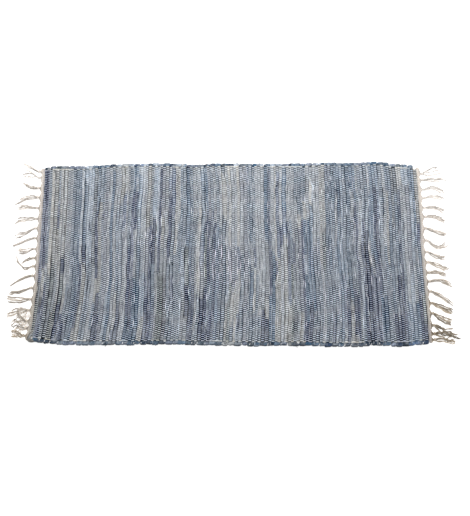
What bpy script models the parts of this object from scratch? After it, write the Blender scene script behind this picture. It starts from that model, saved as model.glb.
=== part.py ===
"""A rag rug: torn strips of old denim on a cotton warp, with a cotton heading and knotted tassels at both
short ends.

Metres, +Z up. The rug lies flat on z = 0 with its length along X and its denim strips along Y. The cloth is
drawn about its own middle, and the whole rug is then moved so that the origin is under the middle of it all,
tassels included.
"""
import math
import random
from collections import namedtuple

import bmesh
import bpy
from mathutils import Vector

MM = 0.001

# ---- the cloth ----
PICKS = 125                     # denim strips, side by side along X
HALF_DEPTH = 300.0 * MM         # half the cloth's depth, before its unevenness
RIB_CROWN = 7.0 * MM            # height over a strip
RIB_GROOVE = 5.0 * MM           # height between two strips
RIB_UNEVEN = 0.4 * MM           # a strip's crown is this much higher or lower than the next
LOOP_NOTCH = 2.6 * MM           # how far the edge steps in between two weft loops
LOOP_UNEVEN = 0.8 * MM          # a loop stands out this much more or less than the next
COLUMNS_PER_LOOP = 4            # a crown and a groove for each of the two strips that a loop joins

# A row for each line of points along a long edge: how far it lies inside the edge, its height over a strip,
# and its height in the groove between two loops.
EdgeRow = namedtuple("EdgeRow", "inset crown groove")
EDGE_ROWS = (
    EdgeRow(0.0 * MM, 3.2 * MM, 2.8 * MM),
    EdgeRow(4.8 * MM, 7.6 * MM, 5.2 * MM),
    EdgeRow(12.5 * MM, 5.6 * MM, 4.4 * MM),
)

# Where the long edges run: distances from the middle line to the back and front edges, at places along the
# rug.
LongEdge = namedtuple("LongEdge", "x back front")
LONG_EDGES = (
    LongEdge(-595 * MM, 278 * MM, 284 * MM),
    LongEdge(-550 * MM, 289 * MM, 293 * MM),
    LongEdge(-460 * MM, 291 * MM, 299 * MM),
    LongEdge(-372 * MM, 298 * MM, 300 * MM),
    LongEdge(-194 * MM, 300 * MM, 302 * MM),
    LongEdge(-105 * MM, 294 * MM, 299 * MM),
    LongEdge(110 * MM, 296 * MM, 303 * MM),
    LongEdge(206 * MM, 298 * MM, 300 * MM),
    LongEdge(295 * MM, 303 * MM, 305 * MM),
    LongEdge(428 * MM, 304 * MM, 299 * MM),
    LongEdge(516 * MM, 296 * MM, 303 * MM),
    LongEdge(560 * MM, 293 * MM, 299 * MM),
    LongEdge(580 * MM, 285 * MM, 296 * MM),
    LongEdge(595 * MM, 271 * MM, 291 * MM),
)

# Where the denim ends at the short ends: distances from the middle to the left and right ends, at places
# across the rug. The cloth has a line of points at each row but the first and the last.
EndEdge = namedtuple("EndEdge", "y left right")
END_EDGES = (
    EndEdge(-300 * MM, 584 * MM, 582 * MM),
    EndEdge(-220 * MM, 574 * MM, 584 * MM),
    EndEdge(-110 * MM, 570 * MM, 583 * MM),
    EndEdge(0 * MM, 574 * MM, 582 * MM),
    EndEdge(110 * MM, 578 * MM, 587 * MM),
    EndEdge(200 * MM, 580 * MM, 588 * MM),
    EndEdge(300 * MM, 582 * MM, 586 * MM),
)

# ---- the headings ----
SEAM = 0.3 * MM                 # gap between the denim and the cotton heading
HEADING_WIDTH = 9.5 * MM
HEADING_CROWN = 4.6 * MM
HEADING_EDGE = 3.4 * MM
HEADING_SHORTFALL = 3.0 * MM    # the heading ends this far inside the long edge

# ---- the tassels ----
STRANDS = 5                     # locks of a tassel, two warp yarns each
STRAND_WIDTH = 1.7 * MM
STRAND_HEIGHT = 1.6 * MM
STRAND_TIP = 0.6                # a tip's share of the strand's width and height
SHORTEST_STRAND = 0.86          # the shortest strand's share of the longest
OPENING_POWER = 0.35            # below 1, the strands part soon after the knot

# A row for each ring of a knot: distance from the heading, width, underside and top.
KnotRing = namedtuple("KnotRing", "out width low high")
KNOT = (
    KnotRing(1.6 * MM, 5.4 * MM, 0.3 * MM, 3.4 * MM),
    KnotRing(3.4 * MM, 9.6 * MM, 0.0 * MM, 7.6 * MM),
    KnotRing(8.4 * MM, 9.0 * MM, 0.0 * MM, 7.2 * MM),
    KnotRing(10.4 * MM, 6.0 * MM, 0.3 * MM, 4.0 * MM),
)
KNOT_ROOT = 6.0 * MM            # width of heading that runs into a knot

# A row for each tassel: where it leaves the heading, how far out it reaches, how far its tips drift to the
# back, how far its middle bows to the back, and how wide its tips spread.
Tassel = namedtuple("Tassel", "y reach drift bow spread")
LEFT_TASSELS = (
    Tassel(273 * MM, 66 * MM, 26 * MM, 3 * MM, 14 * MM),
    Tassel(251 * MM, 70 * MM, 6 * MM, 12 * MM, 24 * MM),
    Tassel(214 * MM, 64 * MM, 22 * MM, -6 * MM, 11 * MM),
    Tassel(181 * MM, 70 * MM, -16 * MM, 6 * MM, 17 * MM),
    Tassel(144 * MM, 73 * MM, 0 * MM, 3 * MM, 10 * MM),
    Tassel(107 * MM, 76 * MM, -10 * MM, 3 * MM, 13 * MM),
    Tassel(74 * MM, 76 * MM, -26 * MM, -6 * MM, 20 * MM),
    Tassel(41 * MM, 76 * MM, -26 * MM, 0 * MM, 10 * MM),
    Tassel(5 * MM, 60 * MM, -4 * MM, -6 * MM, 18 * MM),
    Tassel(-26 * MM, 42 * MM, -14 * MM, 2 * MM, 10 * MM),
    Tassel(-53 * MM, 64 * MM, 31 * MM, -19 * MM, 10 * MM),
    Tassel(-84 * MM, 76 * MM, -36 * MM, 6 * MM, 10 * MM),
    Tassel(-123 * MM, 79 * MM, -14 * MM, -6 * MM, 10 * MM),
    Tassel(-159 * MM, 83 * MM, 2 * MM, -4 * MM, 19 * MM),
    Tassel(-194 * MM, 74 * MM, -16 * MM, 5 * MM, 18 * MM),
    Tassel(-228 * MM, 46 * MM, 10 * MM, 6 * MM, 12 * MM),
    Tassel(-251 * MM, 52 * MM, 4 * MM, 5 * MM, 10 * MM),
    Tassel(-273 * MM, 42 * MM, 6 * MM, 2 * MM, 11 * MM),
)
RIGHT_TASSELS = (
    Tassel(262 * MM, 79 * MM, 18 * MM, 0 * MM, 28 * MM),
    Tassel(240 * MM, 84 * MM, -2 * MM, 3 * MM, 15 * MM),
    Tassel(207 * MM, 76 * MM, -18 * MM, 13 * MM, 11 * MM),
    Tassel(177 * MM, 76 * MM, -13 * MM, 11 * MM, 10 * MM),
    Tassel(143 * MM, 75 * MM, -20 * MM, 8 * MM, 10 * MM),
    Tassel(112 * MM, 70 * MM, -18 * MM, 8 * MM, 10 * MM),
    Tassel(73 * MM, 75 * MM, -24 * MM, -2 * MM, 10 * MM),
    Tassel(32 * MM, 72 * MM, -9 * MM, -17 * MM, 11 * MM),
    Tassel(-6 * MM, 69 * MM, -18 * MM, -8 * MM, 10 * MM),
    Tassel(-40 * MM, 70 * MM, -26 * MM, 1 * MM, 10 * MM),
    Tassel(-74 * MM, 62 * MM, -14 * MM, 7 * MM, 10 * MM),
    Tassel(-102 * MM, 72 * MM, -18 * MM, 12 * MM, 10 * MM),
    Tassel(-134 * MM, 71 * MM, -44 * MM, 2 * MM, 11 * MM),
    Tassel(-171 * MM, 77 * MM, -29 * MM, -3 * MM, 13 * MM),
    Tassel(-203 * MM, 68 * MM, -30 * MM, -6 * MM, 14 * MM),
    Tassel(-240 * MM, 68 * MM, -17 * MM, -5 * MM, 12 * MM),
    Tassel(-266 * MM, 76 * MM, -9 * MM, 1 * MM, 14 * MM),
    Tassel(-284 * MM, 72 * MM, -12 * MM, 0 * MM, 12 * MM),
)
STRAIGHT_STEPS = (0.16, 0.55)      # where a strand has its rings before its tip, as shares of the run
CURVED_STEPS = (0.14, 0.42, 0.72)
CURVED_BOW = 5 * MM                # a tassel that bows this far takes the finer steps

# ---- the colours, linear ----
DENIM = (0.13, 0.17, 0.24)
COTTON = (0.62, 0.55, 0.45)
CLOTH_ROUGHNESS = 0.95

# The end of a stretch of knot or strand: its middle, the way it faces, its width, its underside and its top.
Ring = namedtuple("Ring", "middle facing width low high")


def value_at(table, key, column, place):
    """A column of a table at a place between two of its rows."""
    for low, high in zip(table, table[1:]):
        if place <= getattr(high, key):
            break
    span = getattr(high, key) - getattr(low, key)
    share = (place - getattr(low, key)) / span
    return getattr(low, column) + share * (getattr(high, column) - getattr(low, column))


def end_at(side, y):
    """Where the denim ends on the left (-1) or the right (1)."""
    return side * value_at(END_EDGES, "y", "left" if side < 0 else "right", y)


def long_edge_at(side, x):
    """Where the denim ends at the front (-1) or the back (1)."""
    return side * value_at(LONG_EDGES, "x", "front" if side < 0 else "back", x)


def grid_places(bm, columns, rows):
    """Adds a flat grid, and gives (vertex, column, row) for every vertex of it."""
    verts = bmesh.ops.create_grid(bm, x_segments=columns, y_segments=rows, size=0.5)["verts"]
    return [(v, round((v.co.x + 0.5) * columns), round((v.co.y + 0.5) * rows)) for v in verts]


def close_below(bm):
    """Carries an open top's rim straight down to the floor, and closes it there. Returns the walls."""
    rim = [edge for edge in bm.edges if edge.is_boundary]
    made = bmesh.ops.extrude_edge_only(bm, edges=rim)["geom"]
    for vert in (item for item in made if isinstance(item, bmesh.types.BMVert)):
        vert.co.z = 0.0
    bmesh.ops.edgeloop_fill(bm, edges=[edge for edge in bm.edges if edge.is_boundary])
    return [item for item in made if isinstance(item, bmesh.types.BMFace)]


def add_object(name, bm, material):
    """Turns the mesh into an object of the rug."""
    bmesh.ops.recalc_face_normals(bm, faces=bm.faces)
    mesh = bpy.data.meshes.new(name)
    bm.to_mesh(mesh)
    bm.free()
    mesh.materials.append(material)
    piece = bpy.data.objects.new(name, mesh)
    rug.objects.link(piece)
    return piece


def fabric(name, colour):
    """A plain cloth material."""
    material = bpy.data.materials.new(name)
    material.use_nodes = True
    shader = material.node_tree.nodes["Principled BSDF"]
    shader.inputs["Base Color"].default_value = (*colour, 1.0)
    shader.inputs["Roughness"].default_value = CLOTH_ROUGHNESS
    shader.inputs["Metallic"].default_value = 0.0
    return material


def edge_point(side, from_edge, column, x, jut):
    """A point near a long edge, as (y, height). Each weft loop joins two strips, and the loops of the front
    lie one strip along from those of the back."""
    row = EDGE_ROWS[from_edge]
    if column % COLUMNS_PER_LOOP == (0 if side > 0 else COLUMNS_PER_LOOP // 2):
        return long_edge_at(side, x) - side * (row.inset + LOOP_NOTCH), row.groove
    return long_edge_at(side, x) - side * (row.inset + jut), row.crown


def cloth(name, material):
    """The denim cloth: a slab with a rib for each strip and a lump for each weft loop at its long edges."""
    rng = random.Random(name)
    columns = 2 * PICKS
    inner = END_EDGES[1:-1]
    rows = len(inner) + 2 * len(EDGE_ROWS) - 1
    rise = [rng.uniform(-RIB_UNEVEN, RIB_UNEVEN) for _ in range(columns + 1)]
    juts = [rng.uniform(-LOOP_UNEVEN, LOOP_UNEVEN) for _ in range(columns + 1)]
    bm = bmesh.new()
    for vert, column, row in grid_places(bm, columns, rows):
        share = column / columns
        side = 1 if row > rows / 2 else -1
        from_edge = rows - row if side > 0 else row
        if from_edge < len(EDGE_ROWS):
            x = end_at(-1, 0.0) * (1 - share) + end_at(1, 0.0) * share
            jut = juts[column // COLUMNS_PER_LOOP + (PICKS if side > 0 else 0)]
            y, height = edge_point(side, from_edge, column, x, jut)
        else:
            y = inner[row - len(EDGE_ROWS)].y
            height = RIB_CROWN + rise[column] if column % 2 else RIB_GROOVE
        x = end_at(-1, y) * (1 - share) + end_at(1, y) * share
        vert.co = Vector((x, y, height))
    close_below(bm)
    return add_object(name, bm, material)


def grow(bm, face, ring):
    """Draws a four-sided face out to a ring, and returns the face at its new end."""
    end = bmesh.ops.extrude_discrete_faces(bm, faces=[face])["faces"][0]
    across = Vector((-ring.facing.y, ring.facing.x, 0.0))
    old_middle = end.calc_center_median()
    for vert in end.verts:
        offset = vert.co - old_middle
        vert.co = ring.middle + across * math.copysign(ring.width / 2, offset.dot(across))
        vert.co.z = ring.high if offset.z > 0 else ring.low
    return end


def divide_for_strands(bm, face):
    """Divides a knot's end into upright strips, one for each strand, from front to back."""
    flat = {round(vert.co.x, 6) for vert in face.verts}
    level = [edge for edge in face.edges if abs(edge.verts[0].co.z - edge.verts[1].co.z) < MM / 100]
    made = bmesh.ops.subdivide_edges(bm, edges=level, cuts=STRANDS - 1, use_grid_fill=True)
    cuts = [item for item in made["geom_split"] if isinstance(item, bmesh.types.BMVert)]
    near = {face for vert in cuts for face in vert.link_faces}
    strips = [face for face in near if {round(vert.co.x, 6) for vert in face.verts} == flat]
    return sorted(strips, key=lambda strip: strip.calc_center_median().y)


def tassel_line(side, tassel, share):
    """The line down the middle of a tassel: a place on it from the knot, and the way it runs there."""
    run = tassel.reach - KNOT[-1].out
    back = tassel.drift * share + 4 * tassel.bow * share * (1 - share)
    slope = tassel.drift + 4 * tassel.bow * (1 - 2 * share)
    return Vector((side * run * share, back, 0.0)), Vector((side * run, slope, 0.0)).normalized()


def spread_at(tassel, share):
    """How far apart a tassel's outermost strands are, middle to middle."""
    root = KNOT[-1].width * (STRANDS - 1) / STRANDS
    return root + (tassel.spread - root) * share ** OPENING_POWER


def add_tassel(bm, root, side, tassel, rng):
    """A knot on a heading's outer face, and its strands, which lie level on the floor."""
    outward = Vector((side, 0.0, 0.0))
    base = root.calc_center_median()
    base.z = 0.0
    face = root
    for ring in KNOT:
        face = grow(bm, face, Ring(base + outward * ring.out, outward, ring.width, ring.low, ring.high))
    neck = base + outward * KNOT[-1].out
    steps = CURVED_STEPS if abs(tassel.bow) >= CURVED_BOW else STRAIGHT_STEPS
    for index, strip in enumerate(divide_for_strands(bm, face)):
        lane = index / (STRANDS - 1) - 0.5
        tip = rng.uniform(SHORTEST_STRAND, 1.0)
        for step in (*steps, tip):
            place, facing = tassel_line(side, tassel, step)
            across = Vector((-facing.y, facing.x, 0.0)) * side
            middle = neck + place + across * lane * spread_at(tassel, step)
            taper = STRAND_TIP if step == tip else 1.0
            strip = grow(bm, strip, Ring(middle, facing, STRAND_WIDTH * taper, 0.0, STRAND_HEIGHT * taper))


def heading(name, side, tassels, material):
    """A cotton heading beside one end of the cloth, with its knotted tassels."""
    rng = random.Random(name)
    stations = [row.y for row in END_EDGES[1:-1]]
    for edge in (-1, 1):
        stations.append(long_edge_at(edge, end_at(side, edge * HALF_DEPTH)) - edge * HEADING_SHORTFALL)
    for tassel in tassels:
        stations += [tassel.y - KNOT_ROOT / 2, tassel.y + KNOT_ROOT / 2]
    stations.sort()
    bm = bmesh.new()
    for vert, column, row in grid_places(bm, 2, len(stations) - 1):
        y = stations[row]
        out = column / 2 if side > 0 else 1 - column / 2
        x = end_at(side, y) + side * (SEAM + out * HEADING_WIDTH)
        vert.co = Vector((x, y, HEADING_CROWN if column == 1 else HEADING_EDGE))
    walls = close_below(bm)
    roots = []
    for tassel in tassels:
        outer_x = end_at(side, tassel.y) + side * (SEAM + HEADING_WIDTH)
        mark = Vector((outer_x, tassel.y, HEADING_EDGE / 2))
        roots.append(min(walls, key=lambda wall: (wall.calc_center_median() - mark).length))
    for root, tassel in zip(roots, tassels):
        add_tassel(bm, root, side, tassel, rng)
    return add_object(name, bm, material)


for old in list(bpy.data.objects):
    bpy.data.objects.remove(old)
rug = bpy.data.collections.new("rag_rug")
bpy.context.scene.collection.children.link(rug)

cotton = fabric("cotton_yarn", COTTON)
pieces = [
    cloth("rag_body", fabric("denim_rag", DENIM)),
    heading("heading_left", -1, LEFT_TASSELS, cotton),
    heading("heading_right", 1, RIGHT_TASSELS, cotton),
]

# the origin goes under the middle of the whole rug
corners = [vert.co for piece in pieces for vert in piece.data.vertices]
middle_x = (min(corner.x for corner in corners) + max(corner.x for corner in corners)) / 2
middle_y = (min(corner.y for corner in corners) + max(corner.y for corner in corners)) / 2
centre = bpy.data.objects.new("rug_centre", None)
centre.location = (-middle_x, -middle_y, 0.0)
rug.objects.link(centre)
for piece in pieces:
    piece.parent = centre
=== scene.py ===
import math
from collections import namedtuple

import bmesh
import bpy
import numpy as np
from mathutils import Matrix, Vector


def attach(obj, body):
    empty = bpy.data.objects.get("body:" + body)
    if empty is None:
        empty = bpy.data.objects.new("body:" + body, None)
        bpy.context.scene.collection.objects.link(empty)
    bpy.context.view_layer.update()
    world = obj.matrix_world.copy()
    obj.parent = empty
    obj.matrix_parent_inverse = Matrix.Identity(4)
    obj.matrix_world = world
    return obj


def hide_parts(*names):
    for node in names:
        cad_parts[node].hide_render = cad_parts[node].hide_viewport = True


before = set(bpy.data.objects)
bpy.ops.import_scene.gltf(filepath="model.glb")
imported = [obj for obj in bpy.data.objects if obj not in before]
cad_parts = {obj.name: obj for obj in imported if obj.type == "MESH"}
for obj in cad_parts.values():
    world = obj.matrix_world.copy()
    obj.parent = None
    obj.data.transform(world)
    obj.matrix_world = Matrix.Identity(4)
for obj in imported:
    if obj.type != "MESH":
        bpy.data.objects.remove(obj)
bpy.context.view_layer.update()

# ---- camera ----
# Held above the front long edge and leaning 23 degrees off straight down, so that the whole rug is in view.
LENS = 60.5
SENSOR = 36.0
CAMERA_PLACE = (0.05164, -1.05875, 2.4171)
CAMERA_TURNS = (0.0403, 0.404647, -0.0374)  # about Z, then X, then Z again

camera = bpy.data.objects.new("camera", bpy.data.cameras.new("camera"))
camera.data.lens = LENS
camera.data.sensor_fit = "VERTICAL"
camera.data.sensor_height = SENSOR
camera.data.clip_end = 50.0
first, lean, last = CAMERA_TURNS
turn = Matrix.Rotation(first, 4, "Z") @ Matrix.Rotation(lean, 4, "X") @ Matrix.Rotation(last, 4, "Z")
camera.matrix_world = Matrix.Translation(CAMERA_PLACE) @ turn
bpy.context.scene.collection.objects.link(camera)
bpy.context.scene.camera = camera

# ---- denim rags ----
# The weft: torn strips of old jeans, laid in one long line that turns back at each long edge. Each strip is
# folded over on itself, so its raw edge and the pale back of the denim show in places along its length.
MM = 0.001
MIDDLE = (-9.259 * MM, 0.452 * MM)  # from the middle of the cloth to the middle of the whole rug
PICKS = 125                     # strips, side by side along X
ENDS = 178                      # warp yarns that they are woven through
SELVEDGE = 13.0 * MM            # the outermost warp yarn lies this far inside the long edge
STRIP_MIDDLE = 3.45 * MM        # height of a strip's middle over the floor
STRIP_RISE = 2.7 * MM           # from there to its top, and to its underside
STRIP_DENT = 0.5 * MM           # a warp yarn presses a strip in this far
STRIP_SWELL = 0.3 * MM          # and it swells this far between two yarns
STRIP_UNEVEN = 0.35 * MM        # how much its top goes up and down
RIB_SHARES = (0.6, 0.8)         # the shares of that from rag to rag, and along a rag
STRIP_WAVER = 1.0 * MM          # it strays this far to each side as it goes
WANDER_CALM = 8                 # a higher number keeps the slow wander up nearer to the rug's ends
STRIP_CROWD = 1.04              # strips are this much wider than their room, so they press together
STRIP_SPREAD = 0.16             # share of its width that a strip gains or loses along a rag
STRIP_LUMPS = 0.12 * MM         # creases in the cloth stand out or in this far
SIDE_POWER = 0.85               # below 1, a strip's outline is squarer than an ellipse
TOP_POWER = 0.4
JOIN_SLANT = 0.035              # one rag ends across another on a slant, this share of a strip long
PITCH_UNEVEN = 0.33             # share of a strip's width that a groove may lie off its place
FLAP = 0.8 * MM                 # step down at a strip's folded edge
FLAP_STEEP = 3                  # a higher number makes a shorter step
STRIP_SHADE = 0.7               # painted shade: a dye's tone where a yarn pinches the strip, as a share of its own
GAP_SHADE = 0.2                 # and painted shade where the strip shows between two yarns, down among them
GROOVE_SHADE = 0.45             # painted shade: share of the tone lost, at most, down a strip's sides, in the grooves
GROOVE_TONE = 0.3               # a middling groove loses this share of that
GROOVE_LONG = 0.6               # how much more or less, from place to place GROOVE_REACH apart
GROOVE_SHORT = 0.4              # and from place to place CREASE_REACH apart
SIDE_FROM = 0.8                 # a strip's sides begin this far out, in half widths
FADE = 0.18                     # share by which a rag's tone changes along it
PATCH = 0.16                    # and from patch to patch
MOTTLES = (0.08, 0.2, 0.34)     # and from yarn to yarn, in a smooth, a plain and a blotchy rag
THREAD_TONES = (0.82, 1.18)     # and from point to point, between these
BACK_SHOWS = 0.3                # the most that the pale back of a rag shows beside its fold
EDGES_SHOW = (0.1, 0.3, 0.8)    # how pale a rag's raw edge is: frayed little, some, or much
EDGE_FADE = 0.4                 # it is pale this far to each side of its edge, in half widths
BACK_DYE = "#B4BAC1"
BACK_SHARE = 0.6                # the back is this much BACK_DYE, and keeps some of the face's dye
DARKEST_DYE = "#0B1324"         # washed denim shows nothing darker
BRIGHTEST = 0.9                 # and nothing brighter
LOOP_REACH = 9.4 * MM           # a turn runs this far out from its middle
LOOP_LAP = 2.2 * MM             # and this far the other way, over its middle
LOOP_WIDE = 2.15                # half its size along the edge, in half widths of its strip
LOOP_SQUARE = 5.0               # above 2, a turn's corners are filled out
LOOP_RISE = 3.3 * MM            # from its middle to its top, and to its underside
LOOP_LUMPS = 0.4 * MM
LOOP_UNEVEN = 1.1 * MM          # one turn lies this much further out or in than the next
LOOP_SIZES = (0.94, 1.06)       # its outline is uneven, between these shares of its size
LOOP_LEAN = 0.35                # turns lie over on their neighbours by this share of their reach
LEAN_CALM = 20                  # a higher number keeps the lean up nearer to the rug's ends
LOOP_SECTIONS = 9
TURN_TONE = 1.5                 # the turns have no yarn over them, and show their cloth as it is
TURN_DYE = "#43505E"            # their folds even out their dyes towards this one
TURN_EVEN = 0.35                # by this share
TURN_MOTTLE = 0.28
RIM_SHADE = 0.5                 # painted shade: share of the tone lost down their outer side
RIM_FROM = 0.7                  # which begins at this share of their reach
RIM_OVER = 0.25                 # and is at its darkest this much further out
# What changes slowly along a strip takes this many warp yarns to change.
FOLD_REACH = 22
FADE_REACH = 14
RISE_REACH = 12
GROOVE_REACH = 10
SPREAD_REACH = 7
WAVER_REACH = 6
LUMP_REACH = 4
PATCH_REACH = 3
CREASE_REACH = 2


def read_rows(kind, in_mm, rows):
    """A table's rows, of one kind. The first in_mm values of each row are in millimetres."""
    return [kind(*(value * MM for value in row[:in_mm]), *row[in_mm:]) for row in rows]


# Where the denim ends: the distance from the middle of the cloth to its back and front edges, at places along
# it, and to its left and right ends, at places across it.
LongEdge = namedtuple("LongEdge", "x back front")
LONG_EDGES = read_rows(LongEdge, 3, (
    (-595, 284, 287),
    (-550, 291, 294),
    (-505, 291, 300),
    (-460, 291, 302),
    (-412, 293, 302),
    (-372, 298, 302),
    (-227, 301, 301),
    (-181, 300, 300),
    (-135, 296, 300),
    (-88, 296, 302),
    (-60, 300, 302),
    (50, 300, 304),
    (110, 299, 305),
    (143, 299, 303),
    (206, 299, 304),
    (295, 303, 306),
    (345, 300, 306),
    (385, 301, 306),
    (420, 303, 301),
    (455, 306, 303),
    (490, 300, 305),
    (516, 296, 304),
    (560, 293, 299),
    (580, 288, 297),
    (595, 278, 293),
))
EndEdge = namedtuple("EndEdge", "y left right")
END_EDGES = read_rows(EndEdge, 3, (
    (-300, 582, 582),
    (-220, 575, 584),
    (-110, 572, 583),
    (0, 576, 582),
    (110, 580, 587),
    (200, 582, 588),
    (255, 584, 588),
    (300, 589, 588),
))

# Slow wander of the strips off their straight lines: its size, its wavelengths across and along the rug, in
# metres, and where it starts.
Wander = namedtuple("Wander", "size across along phase")
WANDERS = read_rows(Wander, 1, (
    (1.8, 0.52, 0.61, 0.15),
    (1.2, 0.27, -0.43, 0.60),
    (0.6, 0.11, 0.29, 0.35),
))

DYES = {
    "ink": "#040915",
    "indigo": "#0B1325",
    "navy": "#040E1E",
    "blue": "#1D425C",
    "steel": "#394F62",
    "sky": "#6B8299",
    "ice": "#B4C3D4",
    "frost": "#D8E2ED",
    "slate": "#0A1524",
    "grey": "#4D5C6B",
    "ash": "#8E959D",
    "teal": "#123248",
    "violet": "#0E1F3A",
    "lilac": "#50617B",
    "mauve": "#696F7C",
    "pearl": "#B2B9C1",
    "cream": "#BEBFBE",
    "linen": "#E2E1DC",
    "stone": "#939492",
    "khaki": "#303736",
    "moss": "#0D0E0C",
    "taupe": "#40484F",
    "brown": "#202226",
}

# The rags in the order of weaving, from the left end. The first strip runs from the front edge to the back,
# the next comes back to the front, and so on. Each rag has its dye, and the strips woven when it ends.
WEAVING = """
moss 0.3, indigo 1.6, linen 1.7, moss 1.8, navy 2.0, slate 2.3, ash 2.4, grey 3.0, linen 3.6, taupe 4.15,
khaki 4.4, stone 5.0, grey 5.2, navy 5.35, stone 5.55, taupe 5.8, moss 6.2, stone 7.5, slate 7.6,
khaki 7.75, navy 8.1, violet 8.16, cream 8.3, ash 9.65, grey 9.85, navy 10.1, grey 11.0, steel 12.0,
teal 13.0, frost 13.52, slate 13.9, stone 14.38, navy 14.5, teal 14.88, ice 15.55, grey 16.45, ice 17.0,
taupe 17.55, ash 18.05, steel 18.2, cream 18.32, navy 18.7, blue 18.8, steel 19.2, stone 19.7, navy 20.15,
grey 20.64, navy 20.7, grey 21.0, mauve 22.0, ice 22.25, pearl 23.0, blue 24.0, ash 25.25, steel 25.7,
stone 25.88, navy 26.05, slate 26.2, grey 26.75, stone 27.15, lilac 27.35, mauve 27.45, pearl 27.75,
mauve 28.0, frost 28.15, pearl 28.55, ash 29.0, grey 29.45, violet 29.82, teal 30.05, navy 30.4,
violet 30.8, blue 31.07, ice 31.14, navy 31.36, pearl 31.62, blue 32.3, steel 32.5, grey 32.6, sky 32.9,
frost 33.38, grey 33.62, sky 33.85, stone 34.12, sky 34.35, pearl 35.0, stone 35.35, mauve 35.6, navy 36.62,
taupe 37.0, ice 37.3, navy 37.55, steel 37.75, lilac 38.0, pearl 38.5, ice 39.0, navy 39.6, khaki 40.35,
ash 40.5, stone 40.67, mauve 41.0, ash 41.6, brown 42.0, grey 42.4, navy 42.8, lilac 42.9, ash 43.0,
lilac 43.3, grey 43.6, navy 43.75, grey 44.45, stone 45.3, grey 46.35, steel 47.0, grey 47.5, ice 47.7,
ash 48.1, ink 48.3, khaki 48.5, blue 48.8, teal 49.0, steel 49.4, teal 49.75, slate 50.3, grey 50.65,
ash 51.0, taupe 51.6, ash 51.9, grey 52.25, linen 52.38, cream 52.73, ash 53.0, sky 53.1, steel 53.45,
lilac 53.56, ash 53.7, slate 54.0, navy 54.3, khaki 54.55, slate 54.7, blue 55.0, mauve 55.3, navy 55.65,
steel 55.87, navy 56.05, violet 56.15, teal 56.35, grey 56.6, slate 56.7, grey 57.0, ash 57.3, slate 58.0,
sky 58.6, grey 59.0, ash 59.35, grey 60.65, cream 60.9, grey 61.0, ash 61.6, ice 61.75, stone 61.95,
khaki 62.3, mauve 62.5, cream 62.88, linen 63.0, ash 63.45, mauve 63.7, cream 63.85, grey 64.0, linen 64.1,
stone 64.3, grey 64.55, pearl 65.0, linen 65.1, cream 65.45, slate 65.58, stone 65.8, slate 65.88,
grey 66.45, pearl 66.75, mauve 68.0, grey 68.85, lilac 69.0, grey 69.28, steel 69.45, pearl 69.57,
blue 69.77, grey 70.15, cream 70.37, navy 70.5, grey 71.0, pearl 71.6, grey 72.13, pearl 73.6, ash 73.76,
navy 73.88, slate 74.13, cream 74.22, ash 74.52, blue 75.0, slate 75.5, ink 75.72, blue 76.47, pearl 77.0,
cream 77.53, navy 77.6, stone 78.43, lilac 78.92, pearl 79.32, violet 79.47, pearl 80.0, stone 80.55,
lilac 80.7, sky 81.0, pearl 81.3, navy 81.55, lilac 81.76, stone 82.0, khaki 82.4, steel 82.65, ash 83.4,
navy 83.57, taupe 84.6, ash 84.75, grey 85.28, cream 85.35, mauve 85.8, stone 86.0, navy 86.15, ink 86.4,
navy 86.65, grey 87.2, cream 87.3, blue 87.5, ice 87.6, blue 87.85, navy 88.2, blue 88.65, ash 89.07,
linen 89.22, sky 89.35, blue 89.8, grey 90.5, ash 91.4, grey 92.0, ash 92.4, stone 93.36, khaki 93.6,
grey 94.5, steel 94.85, slate 95.1, steel 95.58, grey 95.8, navy 96.0, grey 96.65, steel 97.17, ash 97.45,
steel 97.6, ice 97.85, grey 98.0, blue 98.6, teal 98.83, steel 98.88, sky 99.6, lilac 99.88, frost 99.95,
slate 100.3, sky 100.42, grey 100.9, steel 101.75, stone 102.0, navy 102.3, grey 102.65, ash 102.8,
blue 103.18, slate 103.35, mauve 103.45, grey 103.7, navy 103.95, taupe 104.2, slate 104.55, violet 104.65,
grey 104.8, pearl 105.0, grey 105.2, pearl 105.55, grey 105.7, steel 105.98, navy 106.25, slate 106.42,
navy 106.65, grey 107.37, navy 107.78, slate 108.22, violet 108.4, stone 108.5, blue 108.8, frost 109.0,
blue 109.5, taupe 109.6, navy 110.4, blue 110.5, navy 110.85, sky 111.15, lilac 111.3, ink 111.58,
violet 111.7, blue 112.23, grey 113.0, ash 113.45, steel 113.65, grey 114.4, stone 114.8, steel 115.8,
navy 116.1, grey 116.6, taupe 117.15, steel 117.6, navy 118.4, slate 118.85, cream 119.1, ash 119.3,
grey 119.8, teal 120.05, sky 120.2, pearl 120.85, ice 121.1, mauve 121.6, ice 121.8, sky 122.1, blue 122.2,
ash 122.4, ice 122.8, blue 123.45, taupe 123.55, grey 123.7, navy 124.1, khaki 124.25, steel 124.5,
violet 124.65, stone 125.0
"""

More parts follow.
